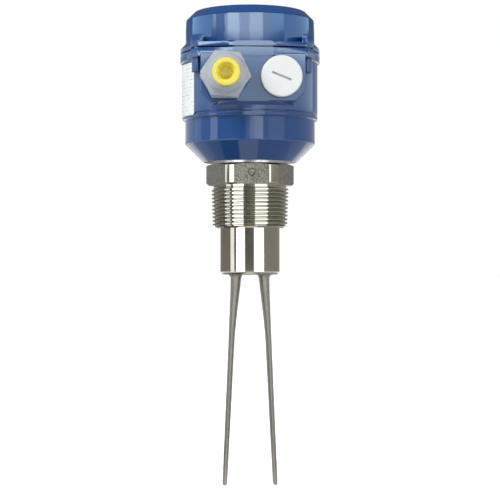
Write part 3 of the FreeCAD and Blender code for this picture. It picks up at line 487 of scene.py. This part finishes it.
def thread_form():
    """The taper thread as one helix, cut off square and chamfered at both ends."""
    rows_per_turn = 20
    turns = 14
    segments = 120
    crest_half, root_half = 0.2, 0.05
    taper = 1 / 32
    top = 3.4
    mesh = bmesh.new()
    grid = []
    for row in range(turns * rows_per_turn + 1):
        line = []
        phase = (row % rows_per_turn) / rows_per_turn
        ridge = (0.5 - root_half - abs(phase - 0.5)) / (0.5 - root_half - crest_half)
        ridge = min(max(ridge, 0.0), 1.0)
        for turn in range(segments):
            height = top - PITCH * (row / rows_per_turn + turn / segments)
            radius = THREAD_CREST + height * taper - THREAD_DEPTH * (1 - ridge)
            angle = -2 * math.pi * turn / segments
            line.append(mesh.verts.new((radius * math.cos(angle), radius * math.sin(angle), height)))
        grid.append(line)
    for row in range(len(grid) - 1):
        for turn in range(segments):
            if turn < segments - 1:
                first, second = grid[row], grid[row + 1]
                mesh.faces.new((first[turn], first[turn + 1], second[turn + 1], second[turn]))
            elif row + rows_per_turn + 1 < len(grid):
                near, far = grid[row + rows_per_turn][0], grid[row + rows_per_turn + 1][0]
                mesh.faces.new((grid[row][turn], near, far, grid[row + 1][turn]))
    lid = mesh.verts.new((0, 0, top + 1))
    foot = mesh.verts.new((0, 0, top - PITCH * (turns + 1) - 1))
    open_edges = [e for e in mesh.edges if len(e.link_faces) == 1]
    middle = (lid.co.z + foot.co.z) / 2
    for edge in open_edges:
        centre = lid if (edge.verts[0].co.z + edge.verts[1].co.z) / 2 > middle else foot
        mesh.faces.new((edge.verts[0], edge.verts[1], centre))
    thread = piece_from("thread", mesh)
    limits = lathe(
        "limits",
        [(0, 1.0), (22.5, 1.0), (22.5, -1.3), (24.2, -2.4), (23.3, -25.0), (21.8, THREAD_END),
         (0, THREAD_END)],
    )
    return joined(thread, limits, how="INTERSECT")


def process_connection():
    """Hexagon with a shallow round mark, taper thread and smooth tube as one closed piece."""
    blank = lathe(
        "blank",
        [(0, 0), (HEX_TURNED - 0.9, 0, 0.3), (HEX_TURNED, 1.0, 0.3), (HEX_TURNED, HEX_TOP - 1.4, 0.3),
         (23.4, HEX_TOP, 0.3), (0, HEX_TOP)],
    )
    whole = joined(hexagon("hexagon", HEX_FLATS, 0, HEX_TOP), blank, how="INTERSECT")
    mark_radius, mark_depth = 2.5, 0.7
    mark = lathe("mark", [(0, -mark_depth), (1.8, -mark_depth, 0.4), (mark_radius, 0.05),
                          (mark_radius, 1.0), (0, 1.0)], 64)
    carved(whole, moved(mark, Matrix.Translation((0, -HEX_FLATS / 2, 7.2)) @ OUTWARD))
    spigot = post("spigot", 15.9, HEX_TOP - 1, RIM + 13.5, segments=96)
    shank = lathe(
        "shank", [(0, 2), (17.2, 2), (17.2, -25), (TUBE, -25), (TUBE, HEAD_TOP), (0, HEAD_TOP)],
    )
    joined(whole, spigot, thread_form(), shank)
    dress(whole, "base", "cast_steel", ["process_connection"], TURNED, BLASTED, smooth=28.0)
    turned, blasted = 0, 1
    angles = [math.radians(60 * side + 30) for side in range(6)]
    sides = [Vector((math.cos(a), math.sin(a), 0)) for a in angles]
    mark_bottom = -(HEX_FLATS / 2 - mark_depth - 0.1) * MM
    mark_side = (mark_radius + 0.1) * MM
    inner = (HEX_FLATS / 2 - 1) * MM
    for face in whole.data.polygons:
        flat = any(face.normal.dot(side) > 0.9995 for side in sides)
        in_mark = face.center.y < mark_bottom and abs(face.center.x) < mark_side
        outside = face.center.z > 0 and face.center.length > inner
        face.material_index = blasted if outside and (flat or in_mark) else turned


def station_at(stations, at):
    """Reads a row of stations, with straight lines between them."""
    for first, second in zip(stations, stations[1:]):
        if at <= second[0]:
            share = (at - first[0]) / (second[0] - first[0])
            return [a + (b - a) * share for a, b in zip(first[1:], second[1:])]
    return list(stations[-1][1:])


TINE = [
    # drop below the head, outer side, thickness, width
    (-1.2, 14.0, 10.6, 15.6),
    (0.0, 13.3, 8.8, 15.2),
    (0.8, 12.7, 7.8, 15.0),
    (1.8, 12.2, 7.0, 15.0),
    (3.2, 12.05, 6.5, 15.0),
    (8.4, 12.1, 6.0, 15.0),
    (22.0, 12.65, 4.9, 14.4),
    (38.0, 13.3, 3.95, 13.5),
    (80.0, 15.05, 3.5, 11.2),
    (128.6, 17.1, 3.05, 9.0),
    (129.6, 17.0, 2.7, 8.6),
    (130.0, 16.8, 2.2, 8.0),
]


def tine(side):
    """One cast tine, an oval blade with a slightly uneven skin."""
    mesh = bmesh.new()
    segments = 40
    rings = []
    drops = [-1.2, -0.6, 0.0, 0.4, 0.8, 1.3, 1.8, 2.5, 3.2]
    drops += [3.2 + 1.1 * step for step in range(1, 114)] + [128.6, 129.2, 129.6, 129.85, 130.0]
    for drop in drops:
        outer, thickness, width = station_at(TINE, drop)
        ring = []
        for turn in range(segments):
            angle = 2 * math.pi * turn / segments
            across = math.copysign(abs(math.cos(angle)) ** 0.92, math.cos(angle)) * thickness / 2
            along = math.copysign(abs(math.sin(angle)) ** 0.92, math.sin(angle)) * width / 2
            point = Vector((side * (outer - thickness / 2) + across, along, TUBE_END - drop))
            if 1.0 < drop < 129.0:
                uneven = noise.noise(point * 0.45) * 0.09 + noise.noise(point * 1.3) * 0.05
                point += Vector((math.cos(angle), math.sin(angle), 0)) * (uneven - 0.07)
            ring.append(mesh.verts.new(point))
        rings.append(ring)
    for first, second in zip(rings, rings[1:]):
        for turn in range(segments):
            after = (turn + 1) % segments
            mesh.faces.new((first[turn], first[after], second[after], second[turn]))
    mesh.faces.new(rings[0])
    mesh.faces.new(rings[-1])
    return piece_from("tine", mesh)


def fork():
    """Round welded head and its two tines."""
    head = lathe("fork_skin", [(0, TUBE_END), (TUBE, TUBE_END, 1.9), (TUBE, HEAD_TOP), (0, HEAD_TOP)])
    joined(head, tine(-1), tine(1))
    dress(head, "base", "fork_steel", ["fork"], TURNED, CAST, smooth=40.0)
    turned, cast = 0, 1
    side, edge = (TUBE - 0.5) * MM, (TUBE_END + 0.5) * MM
    for face in head.data.polygons:
        beside = math.hypot(face.center.x, face.center.y) > side
        face.material_index = turned if beside and face.center.z > edge else cast


def corner_lugs(name, low, high, soft, inner=LUG_START):
    """Squared lugs of the flange, or ears with a nearer inner side, round the four screws."""
    bevel_x, bevel_y = EAR_SIDE - EAR_BEVEL, EAR_FRONT - EAR_BEVEL_LENGTH
    share = (inner - LUG_START) / (bevel_x - LUG_START)
    start = FLANGE_FRONT + (EAR_FRONT - FLANGE_FRONT) * share
    corners = [(inner, EAR_BACK), (inner, start), (bevel_x, EAR_FRONT), (EAR_SIDE, bevel_y),
               (EAR_SIDE, EAR_BACK)]
    lugs = []
    for across in (-1, 1):
        for ahead in (-1, 1):
            lug = prism(name, [(across * x, ahead * y) for x, y in corners], low, high)
            lugs.append(softened(lug, soft, 20.0, 2))
    return lugs


def column_web(x, y):
    """Fills the corner between a screw column and the body beside it."""
    across, ahead = math.copysign(1, x), math.copysign(1, y)
    sides = sorted((28.7 * across, 32.9 * across))
    ends = sorted((23.3 * ahead, 30.3 * ahead))
    return block("web", (sides[0], ends[0], 66.9), (sides[1], ends[1], FLANGE_BOTTOM + 1))


def housing():
    """Die-cast housing: cone, barrel, body with its groove, entry panel, flange and screw columns."""
    shell = lathe(
        "housing_skin",
        [(0, RIM), (28.8, RIM, 0.5), (BARREL, 25.5, 1.4), (BARREL, LEDGE, 0.35), (BODY, LEDGE, 0.6),
         (BODY, GROOVE, 0.25), (BODY - 0.7, GROOVE, 0.2), (BODY - 0.7, GROOVE + 1.0, 0.2),
         (BODY, GROOVE + 1.0, 0.25), (BODY, FLANGE_BOTTOM, 0.5), (FLANGE, FLANGE_BOTTOM, 0.8),
         (FLANGE, JOINT, 0.4), (0, JOINT)],
    )
    between_flats(shell)
    carved(shell, block("bulge", (-PANEL_HALF, -WIDE, PANEL_BOTTOM),
                        (PANEL_HALF, -PANEL_FRONT, FLANGE_BOTTOM)))
    # The hollow's axis lies behind the body's, so it fades out towards the sides.
    set_back = 8.7
    deepest = BODY - 1.4 + set_back
    hollow = lathe(
        "hollow_under_panel",
        [(deepest, 44.0), (deepest + 4, 44.0), (deepest + 4, PANEL_BOTTOM), (deepest + 1.1, PANEL_BOTTOM),
         (deepest, 46.2, 0.6)],
    )
    carved(shell, moved(hollow, Matrix.Translation((0, set_back, 0))))
    half, cut = PANEL_HALF, PANEL_HALF - PANEL_CORNER
    bottom, top = PANEL_BOTTOM, FLANGE_BOTTOM + 2
    panel = prism(
        "panel",
        [(-cut, bottom, 1.3), (cut, bottom, 1.3), (half, bottom + PANEL_CORNER, 1.3), (half, top),
         (-half, top), (-half, bottom + PANEL_CORNER, 1.3)],
        PANEL_BACK - 1, PANEL_FRONT,
    )
    softened(panel, 0.6, 60)
    moved(panel, OUTWARD)
    columns = in_corners(lambda x, y: post("column", COLUMN, 66.5, JOINT - 0.05, x, y, 0.6))
    webs = in_corners(column_web)
    lugs = corner_lugs("lug", FLANGE_BOTTOM + 0.02, JOINT - 0.03, 0.35)
    joined(shell, panel, *columns, *webs, *lugs)
    room = lathe("room", [(0, FLOOR), (28.8, FLOOR, 1.5), (CAVITY, 26.5, 2.0), (CAVITY, 82), (0, 82)])
    carved(room, block("wall", (-34, -PANEL_FRONT, 44.3), (34, -PANEL_BACK, 77)))
    holes = in_corners(lambda x, y: post("hole", SCREW_HOLE, 68.5, 82, x, y))
    entries = [at_entry(post("entry", 10.1, -11.5, 1.5), x) for x in (-ENTRY_X, ENTRY_X)]
    groove = lathe("gasket_groove", [(37.5, 79.3), (39.7, 79.3), (39.7, 82), (37.5, 82)])
    earth = post("earth", 2.05, 15.3, 20, 24.6, 0)
    neck = post("neck", 16.2, 12, 20)
    carved(shell, room, *holes, *entries, groove, neck, earth)
    dress(shell, "base", "blue_paint", ["housing"], BLUE)


def lid():
    """Deep round cover with a chamfered shoulder, four screw ears and a level ledge between them."""
    cover = lathe(
        "lid_skin",
        [(CAVITY, LID_BASE, 0.3), (FLANGE, LID_BASE, 0.3), (FLANGE, LIP_TOP, 0.9),
         (40.0, LIP_TOP + 3.3, 0.4), (39.5, SHOULDER, 1.2), (34.3, LID_TOP, 1.2), (0, LID_TOP), (0, 103.5),
         (34.3, 103.5, 0.8), (CAVITY, 100.9, 0.8)],
    )
    between_flats(cover)
    ledge_top = LIP_TOP + 0.5
    ledge = lathe("ledge", [(40.08, ledge_top), (47, ledge_top), (47, 90), (39.88, 90)])
    between = joined(block("front", (-EAR_INNER, -WIDE, 80), (EAR_INNER, -26, 95)),
                     block("rear", (-EAR_INNER, 26, 80), (EAR_INNER, WIDE, 95)))
    carved(cover, joined(ledge, between, how="INTERSECT"))
    joined(cover, *corner_lugs("lug", LID_BASE + 0.02, ledge_top, 0.35))
    joined(cover, *corner_lugs("ear", LID_BASE + 0.05, EAR_TOP, 0.45, EAR_INNER))
    holes = in_corners(lambda x, y: post("hole", SCREW_HOLE, 80, 90, x, y))
    sinks = in_corners(lambda x, y: post("sink", SCREW_SINK, 85.5, 90, x, y))
    hollow = post("hollow", CAVITY, 80, 92, segments=SEGMENTS)
    carved(cover, hollow, *holes, *sinks)
    dress(cover, "cover", "blue_paint", ["lid"], BLUE)


def gland():
    """Grey cable gland: body with its hexagon, and a cap nut that runs out into a dome."""
    reach = GLAND_FLATS / 2 / math.cos(math.radians(30))
    body_blank = lathe(
        "body_blank",
        [(0, 1.0), (reach - 0.5, 1.0, 0.4), (reach, 1.6, 0.4), (reach, 5.4, 0.4), (12.6, 6.5, 0.4), (0, 6.5)],
    )
    body = joined(hexagon("gland_body_skin", GLAND_FLATS, 1.0, 6.5), body_blank, how="INTERSECT")
    joined(body, post("shank", 9.8, -9.5, 1.5), post("neck", 9.5, 6.0, 16.1))
    carved(body, post("bore", 5.5, -11, 20), post("mouth", 8.0, 7.5, 20))
    at_entry(body, -ENTRY_X)
    dress(body, "base", "grey_plastic", ["gland_body"], GREY)

    nut_blank = lathe(
        "nut_blank",
        [(0, 6.9), (reach - 0.6, 6.9, 0.4), (reach, 7.6, 0.4), (reach, 13.9, 0.5), (12.3, 15.5, 0.6),
         (12.1, 16.4, 0.8), (10.6, 19.6, 1.6), (8.9, 21.1, 0.9), (0, 21.1)],
    )
    nut = hexagon("gland_nut_skin", GLAND_FLATS, 6.9, 21.1, first_corner=-5.0)
    joined(nut, nut_blank, how="INTERSECT")
    carved(nut, post("inside", 9.8, 5, 16.5), post("mouth", 7.0, 5, 22))
    at_entry(nut, -ENTRY_X)
    dress(nut, "cap_nut", "grey_plastic", ["gland_nut"], GREY)


def plugs():
    """Yellow transport plug in the gland, and white slotted blanking plug."""
    plug = lathe(
        "transport_plug_skin",
        [(0, 8.8), (5.3, 8.8, 1.0), (6.2, 21.4), (8.3, 21.4, 0.4), (8.3, 24.0, 1.2), (5.4, 24.0, 0.9),
         (5.0, 22.4, 0.3), (4.6, 22.1, 0.3), (4.5, 20.4, 0.3), (4.1, 20.1, 0.3), (4.0, 18.4, 0.3),
         (3.6, 18.1, 0.3), (3.4, 16.8, 0.6), (2.4, 16.4), (0, 16.4)],
        96,
    )
    at_entry(plug, -ENTRY_X)
    dress(plug, "dust_plug", "yellow_plastic", ["transport_plug"], YELLOW)

    head = lathe(
        "blanking_plug_skin",
        [(0, 1.0), (7.5, 1.0), (7.5, -8.0), (9.8, -8.0, 0.5), (9.8, 1.0), (12.3, 1.0, 0.3), (12.3, 4.4, 0.9),
         (0, 4.4)],
        128,
    )
    slot_angle = math.radians(-22)
    slot = softened(block("slot", (-6.1, -0.7, 1.9), (6.1, 0.7, 6.0)), 0.2)
    carved(head, moved(slot, Matrix.Rotation(slot_angle, 4, "Z")))
    at_entry(head, ENTRY_X)
    dress(head, "blank", "white_plastic", ["blanking_plug"], WHITE)


def nameplate():
    """Thin bare plate bent round the left side of the body."""
    outer, inner = BODY + 0.3, BODY + 0.01
    low, high = 41.7, 73.3
    corner = 1.5
    # Degrees from the front to the plate, and round the plate.
    from_front, wrap = 56, 68
    mesh = bmesh.new()
    first_angle = math.radians(270 - from_front - wrap)
    last_angle = math.radians(270 - from_front)
    columns = 56
    rows = []
    for radius in (outer, inner):
        for edge in ("low", "high"):
            line = []
            for step in range(columns + 1):
                angle = first_angle + (last_angle - first_angle) * step / columns
                along = min(step, columns - step) * (last_angle - first_angle) / columns * outer
                drop = corner - math.sqrt(max(corner**2 - max(corner - along, 0.0) ** 2, 0.0))
                height = low + drop if edge == "low" else high - drop
                line.append(mesh.verts.new((radius * math.cos(angle), radius * math.sin(angle), height)))
            rows.append(line)
    outer_low, outer_high, inner_low, inner_high = rows
    for step in range(columns):
        for first, second in ((outer_low, outer_high), (inner_high, inner_low),
                              (inner_low, outer_low), (outer_high, inner_high)):
            mesh.faces.new((first[step], first[step + 1], second[step + 1], second[step]))
    for step in (0, columns):
        mesh.faces.new((outer_low[step], outer_high[step], inner_high[step], inner_low[step]))
    plate = piece_from("nameplate_skin", mesh)
    dress(plate, "base", "plate_foil", ["nameplate"], FOIL)


# Studio panels that the object reflects. The heights are in degrees above the eye: up to STEEL_TOP they
# show in the steel, then in the barrel, the body's front, the lip, the ears and the cover's side.
# Each height has its panels, as azimuths from and to, and brightness.
FLOOR_Z = -0.1853
EYE_Z = -0.04
PANEL_DISTANCE = 2.4
STEEL_TOP = 5.1
BARREL_TOP = 7.4
FRONT_TOP = 10.35
LIP_SEEN_TOP = 11.15
EAR_SEEN_TOP = 11.75
LID_SEEN = 14.8
LID_SEEN_TOP = 17.2
LID_ENDS = (13.2, 15.8)
WHITE_LIGHT = (1, 1, 1)
WARM = (1.0, 0.96, 0.88)
COOL = (0.82, 0.95, 1.0)
DEEP_BLUE = (0.45, 0.70, 1.0)
REFLECTED = {
    (-20, STEEL_TOP): [
        (-178, -86, 0.28), (-84, -66, 1.7), (-57, -23, 4.2), (-22, 9, 0.16), (13, 53, 2.9), (54, 178, 0.36),
    ],
    (STEEL_TOP, BARREL_TOP): [
        (-180, -119, 0.8), (-118, -98, 1.1), (-98, -77, 0.45), (-76, -61, 2.3), (-60, -15, 0.03),
        (-10, -3, 0.9), (-3, 5, 2.3), (5, 20, 3.2), (20, 30, 0.6), (30, 60, 1.1), (60, 180, 0.5),
    ],
    (BARREL_TOP, FRONT_TOP): [
        (-180, -130, 0.5), (-130, -20, 1.7), (-20, -6, 0.8), (12, 35, 2.6), (35, 130, 1.7), (130, 180, 0.5),
    ],
    (FRONT_TOP, LIP_SEEN_TOP): [
        (-180, -78, 0.9), (-78, -46, 13.5), (-46, -3, 16.0), (-3, 34, 9.5), (34, 44, 7.0), (44, 52, 5.0),
        (52, 100, 3.8), (100, 180, 0.9),
    ],
    (LIP_SEEN_TOP, EAR_SEEN_TOP): [
        (-180, -74, 0.9), (-73, -44, 4.0), (-44, -3, 8.0), (-3, 20, 6.0), (20, 60, 2.8), (60, 90, 1.2),
        (90, 180, 0.5),
    ],
    (LID_SEEN, LID_SEEN_TOP): [
        (-73, -65, 5.0), (-64, -50, 1.8), (-49, -43, 6.0), (-43, -22, 11.0), (-22, -3, 6.5),
        (-3, 20, 9.5), (20, 35, 4.2),
    ],
}


def glowing(piece, level, tone):
    """Makes a stage piece that shines in reflections only."""
    look = bpy.data.materials.new(piece.name)
    look.use_nodes = True
    tree = look.node_tree
    tree.nodes.clear()
    glow = tree.nodes.new("ShaderNodeEmission")
    glow.inputs["Color"].default_value = (*tone, 1.0)
    glow.inputs["Strength"].default_value = level
    out = tree.nodes.new("ShaderNodeOutputMaterial")
    tree.links.new(glow.outputs["Emission"], out.inputs["Surface"])
    piece.data.materials.append(look)
    piece.visible_camera = False
    piece.visible_diffuse = False
    piece.visible_shadow = False


def disc(name, radius, height, level):
    mesh = bmesh.new()
    bmesh.ops.create_circle(mesh, cap_ends=True, segments=96, radius=radius)
    bmesh.ops.translate(mesh, verts=mesh.verts, vec=(0, 0, height))
    glowing(piece_from(name, mesh), level, WHITE_LIGHT)


def strip(name, low, high, height, level):
    """A flat rectangle between two corners."""
    mesh = bmesh.new()
    corners = [(low[0], low[1]), (high[0], low[1]), (high[0], high[1]), (low[0], high[1])]
    mesh.faces.new([mesh.verts.new((x, y, height)) for x, y in corners])
    glowing(piece_from(name, mesh), level, WHITE_LIGHT)


def card(name, azimuths, elevations, level, tone, distance=PANEL_DISTANCE):
    """A curved studio panel that only reflections see.

    Azimuth 0 is in front of the object, and azimuths grow to the right.
    """
    mesh = bmesh.new()
    start, end = azimuths
    steps = max(int((end - start) / 3), 1)
    angles = [math.radians(start + (end - start) * step / steps) for step in range(steps + 1)]
    lines = []
    for elevation in elevations:
        height = distance * math.tan(math.radians(elevation)) + EYE_Z
        places = [(distance * math.sin(a), -distance * math.cos(a), height) for a in angles]
        lines.append([mesh.verts.new(place) for place in places])
    for step in range(steps):
        mesh.faces.new((lines[0][step], lines[0][step + 1], lines[1][step + 1], lines[1][step]))
    glowing(piece_from(name, mesh), level, tone)


def white_to_the_eye(tree):
    """A value that is 1 for camera, glossy and transmission rays and 0 for the light itself."""
    path = tree.nodes.new("ShaderNodeLightPath")
    total = path.outputs["Is Camera Ray"]
    for kind in ("Is Glossy Ray", "Is Transmission Ray"):
        either = tree.nodes.new("ShaderNodeMath")
        either.operation = "MAXIMUM"
        tree.links.new(total, either.inputs[0])
        tree.links.new(path.outputs[kind], either.inputs[1])
        total = either.outputs[0]
    return total


def lamp(name, place, size, power):
    """A soft area lamp that points at the middle of the object."""
    data = bpy.data.lights.new(name, "AREA")
    data.shape = "DISK"
    data.size = size
    data.energy = power
    item = bpy.data.objects.new(name, data)
    item.location = place
    item.rotation_mode = "QUATERNION"
    item.rotation_quaternion = (Vector((0, 0, -0.02)) - Vector(place)).to_track_quat("-Z", "Y")
    item.visible_glossy = False
    bpy.context.scene.collection.objects.link(item)


def white_world():
    """White surroundings that light the object softly."""
    world = bpy.data.worlds.new("studio")
    bpy.context.scene.world = world
    world.use_nodes = True
    tree = world.node_tree
    lit, seen = 0.46, 1.0
    sky = tree.nodes["Background"]
    sky.inputs["Color"].default_value = (1, 1, 1, 1)
    level = tree.nodes.new("ShaderNodeMapRange")
    level.inputs["To Min"].default_value = lit
    level.inputs["To Max"].default_value = seen
    tree.links.new(white_to_the_eye(tree), level.inputs["Value"])
    tree.links.new(level.outputs["Result"], sky.inputs["Strength"])


def pale_floor():
    """A matt floor that keeps the object's shadow and looks white around it."""
    mesh = bmesh.new()
    bmesh.ops.create_circle(mesh, cap_ends=True, segments=96, radius=9.0)
    floor = piece_from("floor", mesh)
    floor.data.transform(Matrix.Translation((0, 0, FLOOR_Z)))
    look = bpy.data.materials.new("floor")
    look.use_nodes = True
    tree = look.node_tree
    base = tree.nodes["Principled BSDF"]
    base.inputs["Base Color"].default_value = (0.5, 0.5, 0.5, 1)
    base.inputs["Roughness"].default_value = 0.9
    base.inputs["Specular IOR Level"].default_value = 0.0
    base.inputs["Emission Color"].default_value = (1, 1, 1, 1)
    glow = tree.nodes.new("ShaderNodeMath")
    glow.operation = "MULTIPLY"
    glow.inputs[1].default_value = 0.78
    tree.links.new(white_to_the_eye(tree), glow.inputs[0])
    tree.links.new(glow.outputs[0], base.inputs["Emission Strength"])
    floor.data.materials.append(look)


def panel_tone(low, level):
    """Warm for the dim panels in the steel, cool above the barrel, and white elsewhere."""
    if low > STEEL_TOP:
        return COOL
    return WARM if low < STEEL_TOP and level < 1 else WHITE_LIGHT


def studio():
    """White surroundings, floor, soft lamps and the panels that paint and metal reflect."""
    white_world()
    pale_floor()
    lamp("key", (-1.5, -1.1, 1.5), 1.0, 38)
    lamp("fill", (1.5, -1.3, 0.9), 1.2, 14)
    lamp("back", (0.3, 1.9, 1.4), 1.4, 18)

    card("wall", (-180, 180), (-20, 30), 0.14, WARM, 2.7)
    disc("ceiling", 4.0, 1.4, 0.14)
    for ring, bands in REFLECTED.items():
        for number, (start, end, level) in enumerate(bands):
            name = f"panel_{int(10 * ring[0])}_{number}".replace("-", "m")
            card(name, (start, end), ring, level, panel_tone(ring[0], level))
    # The flat entry panel sees these two, just in front of the others.
    front = (BARREL_TOP - 0.3, FRONT_TOP)
    card("panel_left", (-6, 1.2), front, 1.2, COOL, PANEL_DISTANCE - 0.02)
    card("panel_right", (1.2, 12), front, 3.4, COOL, PANEL_DISTANCE - 0.02)
    card("lid_left", (-128, -74), LID_ENDS, 3.4, DEEP_BLUE)
    card("lid_right", (35, 60), (LID_SEEN, LID_SEEN_TOP), 6.0, DEEP_BLUE)
    card("lid_far_right", (60, 128), LID_ENDS, 3.0, DEEP_BLUE)
    # Sheets just above the floor, seen only in reflections, paint the cone's reflection of the floor in three
    # tones: a painted reflection.
    disc("floor_far", 0.42, FLOOR_Z + 0.0002, 0.6)
    disc("floor_near", 0.20, FLOOR_Z + 0.0004, 0.42)
    strip("reflected_floor_dark", (-0.125, -0.20), (-0.052, 0.12), FLOOR_Z + 0.0006, 0.03)
    strip("reflected_floor_light", (-0.05, -0.20), (0.032, 0.12), FLOOR_Z + 0.0006, 1.1)


def camera():
    """The photograph's view: level, at the height of the smooth tube, a little from the left."""
    data = bpy.data.cameras.new("camera")
    data.sensor_width = 36.0
    data.lens = 104.5
    item = bpy.data.objects.new("camera", data)
    bpy.context.scene.collection.objects.link(item)
    azimuth = math.radians(-2.7)
    eye_level, distance = -0.0399, 0.9
    back = Vector((math.sin(azimuth), -math.cos(azimuth), 0))
    item.location = back * distance + Vector((0, 0, eye_level))
    item.rotation_mode = "QUATERNION"
    item.rotation_quaternion = (-back).to_track_quat("-Z", "Y")
    bpy.context.scene.camera = item


camera()
studio()
look_over_cad()
process_connection()
fork()
housing()
lid()
gland()
plugs()
nameplate()

bpy.context.scene.view_settings.view_transform = "Standard"
